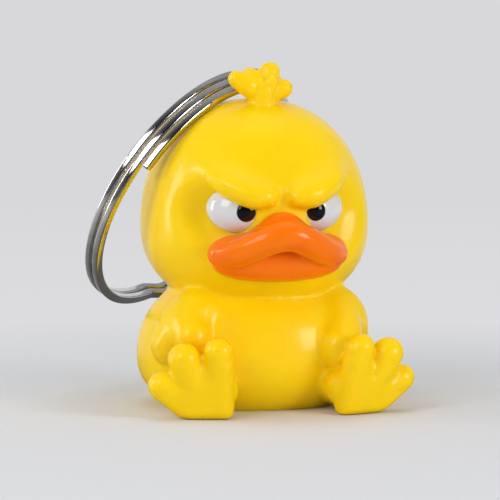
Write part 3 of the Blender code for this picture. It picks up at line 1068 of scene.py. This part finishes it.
class Nodes:
    """A small helper that places and wires the nodes of one tree."""

    def __init__(self, tree: bpy.types.NodeTree) -> None:
        """Keeps the tree."""
        self.tree = tree

    def add(self, kind: str, **settings: object) -> bpy.types.Node:
        """Adds a node.

        Args:
            kind: The node's type name.
            settings: Attributes to set on it.

        Returns:
            The node.
        """
        node = self.tree.nodes.new(kind)
        for key, value in settings.items():
            setattr(node, key, value)
        return node

    def feed(self, node: bpy.types.Node, values: dict[str | int, object]) -> bpy.types.Node:
        """Sets or links inputs.

        Args:
            node: The node whose inputs are fed.
            values: A plain value, or an output socket to link, for each input.

        Returns:
            The same node.
        """
        for key, value in values.items():
            socket = node.inputs[key]
            if isinstance(value, bpy.types.NodeSocket):
                self.tree.links.new(value, socket)
            else:
                socket.default_value = value
        return node

    def noise(
        self, vector: bpy.types.NodeSocket, scale: object, detail: float = 2.0, rough: float = 0.5
    ) -> bpy.types.NodeSocket:
        """A noise texture's single value.

        Args:
            vector: Where the noise is read.
            scale: A number, or an output socket.
            detail: How many octaves it has.
            rough: How much each octave keeps of the one before.

        Returns:
            The value's socket.
        """
        node = self.add("ShaderNodeTexNoise", noise_dimensions="3D")
        self.feed(node, {"Vector": vector, "Scale": scale, "Detail": detail, "Roughness": rough})
        return node.outputs[0]

    def math(self, operation: str, first: object, second: object) -> bpy.types.NodeSocket:
        """The result of a math node on two values.

        Args:
            operation: The node's operation.
            first: A number, or an output socket.
            second: The same.

        Returns:
            The result's socket.
        """
        node = self.add("ShaderNodeMath", operation=operation)
        self.feed(node, {0: first, 1: second})
        return node.outputs[0]

    def ramp(
        self, value: bpy.types.NodeSocket, low: float, high: float, to_low: float = 0.0, to_high: float = 1.0
    ) -> bpy.types.NodeSocket:
        """A value carried from one range to another, held at its ends.

        Args:
            value: The value's socket.
            low: Where the range starts.
            high: Where it ends.
            to_low: What the start becomes.
            to_high: What the end becomes.

        Returns:
            The result's socket.
        """
        node = self.add("ShaderNodeMapRange", clamp=True)
        self.feed(node, {"Value": value, 1: low, 2: high, 3: to_low, 4: to_high})
        return node.outputs[0]

    def mix(self, factor: object, first: object, second: object) -> bpy.types.NodeSocket:
        """A mix of two colours.

        Args:
            factor: The second colour's share, as a number or a socket.
            first: A colour, or an output socket.
            second: The same.

        Returns:
            The mixed colour's socket.
        """
        node = self.add("ShaderNodeMix", data_type="RGBA")
        self.feed(node, {0: factor, 6: first, 7: second})
        return node.outputs[2]


def new_group(
    name: str, inputs: dict[str, float], outputs: tuple[str, ...]
) -> tuple[bpy.types.NodeTree, Nodes]:
    """An empty shader node group with float sockets.

    Args:
        name: The group's name.
        inputs: Input names with their usual values.
        outputs: Output names.

    Returns:
        The group, and a helper for its tree.
    """
    group = bpy.data.node_groups.new(name, "ShaderNodeTree")
    for label, value in inputs.items():
        socket = group.interface.new_socket(name=label, in_out="INPUT", socket_type="NodeSocketFloat")
        socket.default_value = value
    for label in outputs:
        group.interface.new_socket(name=label, in_out="OUTPUT", socket_type="NodeSocketFloat")
    return group, Nodes(group)


def moulding_group() -> bpy.types.NodeTree:
    """What a moulded skin shows close up: soft ripples, orange peel and faint rubbed patches.

    Returns:
        A group that puts out the height of the skin, and masks of its mottle and of its rubbed patches.
    """
    group, nodes = new_group(
        "moulded skin",
        {"Peel Scale": 900.0, "Peel": 0.35, "Ripple": 0.6, "Mottle Scale": 160.0},
        ("Height", "Mottle", "Rubbed"),
    )
    given = nodes.add("NodeGroupInput")
    result = nodes.add("NodeGroupOutput")
    place = nodes.add("ShaderNodeTexCoord").outputs["Object"]
    peel = nodes.noise(place, given.outputs["Peel Scale"], 2.0, 0.55)
    ripple = nodes.noise(place, 130.0, 1.0, 0.4)
    mottle = nodes.noise(place, given.outputs["Mottle Scale"], 3.0, 0.6)
    patches = nodes.noise(place, 420.0, 4.0, 0.65)
    height = nodes.math(
        "ADD",
        nodes.math("MULTIPLY", peel, given.outputs["Peel"]),
        nodes.math("MULTIPLY", ripple, given.outputs["Ripple"]),
    )
    nodes.feed(
        result,
        {
            "Height": height,
            "Mottle": nodes.ramp(mottle, 0.35, 0.68),
            "Rubbed": nodes.ramp(patches, 0.56, 0.72),
        },
    )
    return group


def wear_group() -> bpy.types.NodeTree:
    """Fine dust and hairline marks.

    Returns:
        A group that puts out masks of sparse dust specks and of hairlines.
    """
    group, nodes = new_group(
        "dust and hairlines", {"Dust Scale": 1500.0, "Amount": 0.5}, ("Dust", "Hairlines")
    )
    given = nodes.add("NodeGroupInput")
    result = nodes.add("NodeGroupOutput")
    place = nodes.add("ShaderNodeTexCoord").outputs["Object"]
    cells = nodes.add("ShaderNodeTexVoronoi", feature="F1")
    nodes.feed(cells, {"Vector": place, "Scale": given.outputs["Dust Scale"]})
    specks = nodes.ramp(cells.outputs["Distance"], 0.06, 0.14, 1.0, 0.0)
    sparse = nodes.ramp(nodes.noise(place, 260.0, 1.0), 0.55, 0.7)
    dust = nodes.math("MULTIPLY", nodes.math("MULTIPLY", specks, sparse), given.outputs["Amount"])
    stretched = nodes.add("ShaderNodeMapping")
    nodes.feed(stretched, {"Vector": place, "Scale": (3000.0, 140.0, 420.0), "Rotation": (0.5, 0.3, 0.9)})
    lines = nodes.ramp(nodes.noise(stretched.outputs[0], 1.0, 2.0, 0.6), 0.66, 0.74)
    nodes.feed(result, {"Dust": dust, "Hairlines": nodes.math("MULTIPLY", lines, given.outputs["Amount"])})
    return group


@dataclass(frozen=True)
class VinylFinish:
    """Soft moulded vinyl: light sinks in a little, and the skin has a fine peel under its gloss.

    The depth is how far each colour of light travels inside, as shares of the depth scale in metres.
    """

    name: str
    colour: Colour
    warm_colour: Colour
    roughness: float
    depth: Colour
    depth_scale: float
    depth_weight: float
    peel: float = 0.35
    ripple: float = 0.6
    bump: float = 0.00004
    specular: float = 0.3
    coat: float = 0.12
    coat_roughness: float = 0.12
    dust_colour: Colour = (0.8, 0.78, 0.72)
    dust_share: float = 0.12
    rubbed_share: float = 0.05
    hairline_share: float = 0.08

    def build(self, moulding: bpy.types.NodeTree, wear: bpy.types.NodeTree) -> bpy.types.Material:
        """Makes the material.

        Args:
            moulding: The group of the moulded skin.
            wear: The group of dust and hairlines.

        Returns:
            The material.
        """
        paint = bpy.data.materials.new(self.name)
        paint.use_nodes = True
        nodes = Nodes(paint.node_tree)
        shader = paint.node_tree.nodes["Principled BSDF"]
        skin = nodes.add("ShaderNodeGroup", node_tree=moulding)
        nodes.feed(skin, {"Peel": self.peel, "Ripple": self.ripple})
        marks = nodes.add("ShaderNodeGroup", node_tree=wear)
        mottled = nodes.mix(skin.outputs["Mottle"], (*self.colour, 1.0), (*self.warm_colour, 1.0))
        dust = nodes.math("MULTIPLY", marks.outputs["Dust"], self.dust_share)
        dusty = nodes.mix(dust, mottled, (*self.dust_colour, 1.0))
        rubbed = nodes.math("MULTIPLY", skin.outputs["Rubbed"], self.rubbed_share)
        hairlines = nodes.math("MULTIPLY", marks.outputs["Hairlines"], self.hairline_share)
        rough = nodes.math("ADD", rubbed, nodes.math("ADD", hairlines, self.roughness))
        bump = nodes.add("ShaderNodeBump")
        nodes.feed(bump, {"Height": skin.outputs["Height"], "Distance": self.bump, "Strength": 0.5})
        nodes.feed(
            shader,
            {
                "Base Color": dusty,
                "Roughness": rough,
                "Normal": bump.outputs[0],
                "Subsurface Weight": self.depth_weight,
                "Subsurface Radius": self.depth,
                "Subsurface Scale": self.depth_scale,
                "IOR": 1.5,
                "Specular IOR Level": self.specular,
                "Coat Weight": self.coat,
                "Coat Roughness": self.coat_roughness,
            },
        )
        return paint


@dataclass(frozen=True)
class SteelFinish:
    """Nickel-plated spring steel, polished along the wire."""

    name: str
    colour: Colour
    dull_colour: Colour
    roughness: float
    along_wire: bool
    drawn_share: float = 0.08
    hairline_share: float = 0.15
    groove: float = 0.00001

    def build(self, wear: bpy.types.NodeTree) -> bpy.types.Material:
        """Makes the material.

        Args:
            wear: The group of dust and hairlines.

        Returns:
            The material.
        """
        paint = bpy.data.materials.new(self.name)
        paint.use_nodes = True
        nodes = Nodes(paint.node_tree)
        shader = paint.node_tree.nodes["Principled BSDF"]
        if self.along_wire:
            place = nodes.add("ShaderNodeAttribute", attribute_name="wire_place").outputs["Vector"]
            stretch = (0.35, 9.0, 9.0)
        else:
            place = nodes.add("ShaderNodeTexCoord").outputs["Object"]
            stretch = (2500.0, 2500.0, 2500.0)
        drawn = nodes.add("ShaderNodeMapping")
        nodes.feed(drawn, {"Vector": place, "Scale": stretch})
        lines = nodes.noise(drawn.outputs[0], 1.0, 3.0, 0.6)
        patches = nodes.noise(nodes.add("ShaderNodeTexCoord").outputs["Object"], 300.0, 3.0, 0.6)
        marks = nodes.add("ShaderNodeGroup", node_tree=wear)
        tone = nodes.mix(nodes.ramp(patches, 0.4, 0.7), (*self.colour, 1.0), (*self.dull_colour, 1.0))
        drawn_lines = nodes.math("MULTIPLY", lines, self.drawn_share)
        hairlines = nodes.math("MULTIPLY", marks.outputs["Hairlines"], self.hairline_share)
        base = self.roughness - self.drawn_share / 2
        rough = nodes.math("ADD", drawn_lines, nodes.math("ADD", hairlines, base))
        bump = nodes.add("ShaderNodeBump")
        nodes.feed(bump, {"Height": lines, "Distance": self.groove, "Strength": 0.35})
        nodes.feed(
            shader,
            {"Base Color": tone, "Metallic": 1.0, "Roughness": rough, "Normal": bump.outputs[0]},
        )
        return paint


YELLOW = VinylFinish(
    name="yellow vinyl",
    colour=(1.0, 0.665, 0.002),
    warm_colour=(1.0, 0.63, 0.001),
    roughness=0.32,
    depth=(1.0, 0.5, 0.02),
    depth_scale=0.0014,
    depth_weight=0.3,
    specular=0.22,
    coat=0.22,
    coat_roughness=0.07,
)
ORANGE = VinylFinish(
    name="orange vinyl",
    colour=(1.0, 0.205, 0.001),
    warm_colour=(0.97, 0.17, 0.001),
    roughness=0.3,
    depth=(1.0, 0.3, 0.01),
    depth_scale=0.0008,
    depth_weight=0.15,
    specular=0.15,
    coat=0.45,
    coat_roughness=0.05,
)
EYE_WHITE = VinylFinish(
    name="eye white",
    colour=(0.73, 0.73, 0.74),
    warm_colour=(0.69, 0.69, 0.69),
    roughness=0.2,
    depth=(0.8, 0.5, 0.4),
    depth_scale=0.0006,
    depth_weight=0.2,
    peel=0.1,
    ripple=0.2,
    bump=0.00002,
    specular=0.5,
    coat=0.6,
    coat_roughness=0.05,
)
PUPIL_BLACK = VinylFinish(
    name="pupil black",
    colour=(0.004, 0.004, 0.005),
    warm_colour=(0.006, 0.005, 0.005),
    roughness=0.07,
    depth=(1.0, 1.0, 1.0),
    depth_scale=0.0001,
    depth_weight=0.0,
    peel=0.05,
    ripple=0.1,
    bump=0.00001,
    specular=0.4,
    coat=0.1,
    coat_roughness=0.04,
)
RING_STEEL = SteelFinish(
    name="ring steel",
    colour=(0.8, 0.79, 0.77),
    dull_colour=(0.66, 0.65, 0.63),
    roughness=0.11,
    along_wire=True,
)
SCREW_STEEL = SteelFinish(
    name="screw steel",
    colour=(0.62, 0.61, 0.6),
    dull_colour=(0.5, 0.49, 0.47),
    roughness=0.2,
    along_wire=False,
)


# Studio


@dataclass
class Lamp:
    """A soft box: a rectangle of light that looks at a point, and shows in glossy pieces where mirrored."""

    name: str
    place: tuple[float, float, float]
    target: tuple[float, float, float]
    size: tuple[float, float]
    watts: float
    mirrored: bool = True

    def build(self) -> bpy.types.Object:
        """Makes the lamp, in millimetres from the duck's origin.

        Returns:
            The lamp, linked to the scene.
        """
        light = bpy.data.lights.new(self.name, "AREA")
        light.shape = "RECTANGLE"
        light.size = self.size[0] * MM
        light.size_y = self.size[1] * MM
        light.energy = self.watts
        obj = bpy.data.objects.new(self.name, light)
        obj.location = Vector(self.place) * MM
        look = Vector(self.target) - Vector(self.place)
        obj.rotation_euler = look.to_track_quat("-Z", "Y").to_euler()
        obj.visible_glossy = self.mirrored
        bpy.context.scene.collection.objects.link(obj)
        return obj


@dataclass
class Studio:
    """The pale sweep that the duck sits on, its lamps and the camera.

    The paper has a pair of tones for light from the lamps, a darker one for the duck's reflections, and a
    glow that takes over between pale_from and pale_to. The glow goes from its near tone to its darker far
    one where it recedes, as painted shade for the lamps' light falling off on the far paper, and is mirrored
    only past the middle of its last range. The surround has one tone for soft light, and for reflections a
    dark front and a pale back, which meet where the room turns.
    """

    target: tuple[float, float, float] = (-0.62, 0.0, 17.53)
    toward_camera: tuple[float, float, float] = (-0.2497, -0.9654, 0.075)
    distance: float = 285.6
    seen_width: float = 57.35
    sensor: float = 36.0
    sweep_half: float = 900.0
    sweep_front: float = 1200.0
    sweep_back: float = 420.0
    sweep_radius: float = 160.0
    sweep_rise: float = 700.0
    paper_tones: tuple[Colour, Colour] = ((0.72, 0.73, 0.75), (0.75, 0.76, 0.78))
    paper_mirrored: Colour = (0.14, 0.14, 0.145)
    pale_from: float = 30.0
    pale_to: float = 95.0
    # The far glow tone is darker: painted shade for the lamps' light falling off on the far paper
    glow_tones: tuple[Colour, Colour] = ((0.74, 0.74, 0.76), (0.685, 0.685, 0.70))
    glow_recedes: tuple[float, float] = (-100.0, 400.0)
    glow_mirrored: tuple[float, float] = (-60.0, 60.0)
    surround_tone: Colour = (0.85, 0.87, 0.9)
    room_tones: tuple[Colour, Colour] = ((0.05, 0.05, 0.055), (0.85, 0.85, 0.88))
    room_turns: tuple[float, float] = (-0.45, 0.1)
    surround_strength: float = 0.4
    lamps: tuple[Lamp, ...] = (
        Lamp("left box", (-230, -170, 190), (0, 0, 18), (150, 170), 0.31),
        Lamp("left strip", (-250, 60, 80), (0, 0, 18), (70, 170), 0.2),
        Lamp("right box", (200, -235, 105), (0, 0, 18), (110, 140), 0.38),
        Lamp("top box", (10, 60, 330), (0, 0, 10), (260, 200), 0.32, mirrored=False),
        Lamp("front fill", (10, -420, 30), (0, 0, 10), (300, 180), 0.28, mirrored=False),
    )

    def camera(self) -> bpy.types.Object:
        """The camera, at the photograph's angle and distance.

        Returns:
            The camera, which is the scene's own.
        """
        data = bpy.data.cameras.new("camera")
        data.sensor_width = self.sensor
        data.lens = self.sensor * self.distance / self.seen_width
        data.clip_start = 0.01
        data.clip_end = 20.0
        obj = bpy.data.objects.new("camera", data)
        back = Vector(self.toward_camera).normalized()
        obj.location = (Vector(self.target) + back * self.distance) * MM
        obj.rotation_euler = (-back).to_track_quat("-Z", "Y").to_euler()
        bpy.context.scene.collection.objects.link(obj)
        bpy.context.scene.camera = obj
        return obj

    def sweep_paint(self) -> bpy.types.Material:
        """Matt pale paper: light grey to the lamps, and an even pale tone where the camera sees it.

        Away from the duck the camera sees the glow, whose tone darkens towards the back as painted shade.
        Glossy pieces see it only behind the duck, so that nothing pale hangs in front of their faces.

        Returns:
            The material.
        """
        paint = bpy.data.materials.new("paper sweep")
        paint.use_nodes = True
        nodes = Nodes(paint.node_tree)
        shader = paint.node_tree.nodes["Principled BSDF"]
        place = nodes.add("ShaderNodeTexCoord").outputs["Object"]
        fibre = nodes.noise(place, 700.0, 4.0, 0.6)
        tone = nodes.mix(fibre, *((*tone, 1.0) for tone in self.paper_tones))
        path = nodes.add("ShaderNodeLightPath")
        tone = nodes.mix(path.outputs["Is Glossy Ray"], tone, (*self.paper_mirrored, 1.0))
        bump = nodes.add("ShaderNodeBump")
        nodes.feed(bump, {"Height": fibre, "Distance": 0.00005, "Strength": 0.2})
        nodes.feed(
            shader,
            {"Base Color": tone, "Roughness": 0.75, "Specular IOR Level": 0.2, "Normal": bump.outputs[0]},
        )
        length = nodes.add("ShaderNodeVectorMath", operation="LENGTH")
        nodes.feed(length, {0: place})
        far = nodes.ramp(length.outputs["Value"], self.pale_from * MM, self.pale_to * MM)
        parts = nodes.add("ShaderNodeSeparateXYZ")
        nodes.feed(parts, {0: place})
        # The glow darkens where the paper recedes: painted shade of the light falling off towards the back
        recede = nodes.ramp(parts.outputs["Y"], *(place_back * MM for place_back in self.glow_recedes))
        behind = nodes.ramp(parts.outputs["Y"], *(place_back * MM for place_back in self.glow_mirrored))
        mirrored = nodes.math("MULTIPLY", path.outputs["Is Glossy Ray"], behind)
        seen_straight = nodes.math("MAXIMUM", path.outputs["Is Camera Ray"], mirrored)
        glow = nodes.add("ShaderNodeEmission")
        nodes.feed(glow, {"Color": nodes.mix(recede, *((*tone, 1.0) for tone in self.glow_tones))})
        seen = nodes.add("ShaderNodeMixShader")
        share = nodes.math("MULTIPLY", far, seen_straight)
        nodes.feed(seen, {0: share, 1: shader.outputs[0], 2: glow.outputs[0]})
        nodes.feed(paint.node_tree.nodes["Material Output"], {"Surface": seen.outputs[0]})
        return paint

    def sweep(self) -> bpy.types.Object:
        """The paper: flat under the duck, then a quarter round up to a wall behind it.

        The profile is a line, a quarter circle and a line, in (distance back, height), and it is carried
        straight across.

        Returns:
            The paper.
        """
        bend = np.radians(np.linspace(0, 90, 24))
        flat = np.array([[-self.sweep_front, 0.0], [0.0, 0.0]])
        corner = np.column_stack(
            [self.sweep_back + self.sweep_radius * np.sin(bend), self.sweep_radius * (1 - np.cos(bend))]
        )
        wall = np.array([[self.sweep_back + self.sweep_radius, self.sweep_rise]])
        profile = np.vstack([flat, corner, wall])
        x = np.array([-self.sweep_half, 0.0, self.sweep_half])
        rows, columns = len(profile), len(x)
        points = np.zeros((rows, columns, 3))
        points[..., 0] = x
        points[..., 1] = profile[:, :1]
        points[..., 2] = profile[:, 1:]
        index = np.arange(rows * columns).reshape(rows, columns)
        quads = np.stack([index[:-1, :-1], index[:-1, 1:], index[1:, 1:], index[1:, :-1]], axis=-1)
        mesh = bpy.data.meshes.new("paper sweep")
        mesh.from_pydata((points.reshape(-1, 3) * MM).tolist(), [], quads.reshape(-1, 4).tolist())
        mesh.shade_smooth()
        obj = place_piece(mesh, "paper_sweep")
        obj.data.materials.append(self.sweep_paint())
        return obj

    def world(self) -> None:
        """The surround: even soft light, but dark in front of the duck and pale behind it in reflections."""
        world = bpy.data.worlds.new("surround")
        world.use_nodes = True
        nodes = Nodes(world.node_tree)
        glossy = nodes.add("ShaderNodeLightPath").outputs["Is Glossy Ray"]
        heading = nodes.add("ShaderNodeSeparateXYZ")
        nodes.feed(heading, {0: nodes.add("ShaderNodeTexCoord").outputs["Generated"]})
        behind = nodes.ramp(heading.outputs["Y"], *self.room_turns)
        room = nodes.mix(behind, *((*tone, 1.0) for tone in self.room_tones))
        shade = nodes.mix(glossy, (*self.surround_tone, 1.0), room)
        nodes.feed(world.node_tree.nodes["Background"], {"Color": shade, "Strength": self.surround_strength})
        bpy.context.scene.world = world

    def build(self) -> None:
        """Makes the sweep, the surround, the lamps and the camera."""
        self.sweep()
        self.world()
        for lamp in self.lamps:
            lamp.build()
        self.camera()
        bpy.context.scene.view_settings.view_transform = "Standard"


def main() -> None:
    """Builds the duck, its eyes and bill, the ring and the studio, in that order."""
    logging.basicConfig(level=logging.INFO, format="%(message)s")
    for obj in list(bpy.data.objects):
        bpy.data.objects.remove(obj, do_unlink=True)
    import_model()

    moulding = moulding_group()
    wear = wear_group()
    yellow = YELLOW.build(moulding, wear)
    orange = ORANGE.build(moulding, wear)
    white = EYE_WHITE.build(moulding, wear)
    black = PUPIL_BLACK.build(moulding, wear)
    ring_steel = RING_STEEL.build(wear)
    screw_steel = SCREW_STEEL.build(wear)

    head = Head()
    DuckBody(head).build(yellow)
    Bill(head).build(orange)
    eye = Eye(head)
    for side in Side:
        eye.white(side, white)
        eye.pupil(side, black)
    hanging = Hanging()
    ScrewEye(hanging).build(screw_steel)
    SplitRing(hanging).build(ring_steel)
    Studio().build()

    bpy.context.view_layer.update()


if __name__ == "__main__":
    main()
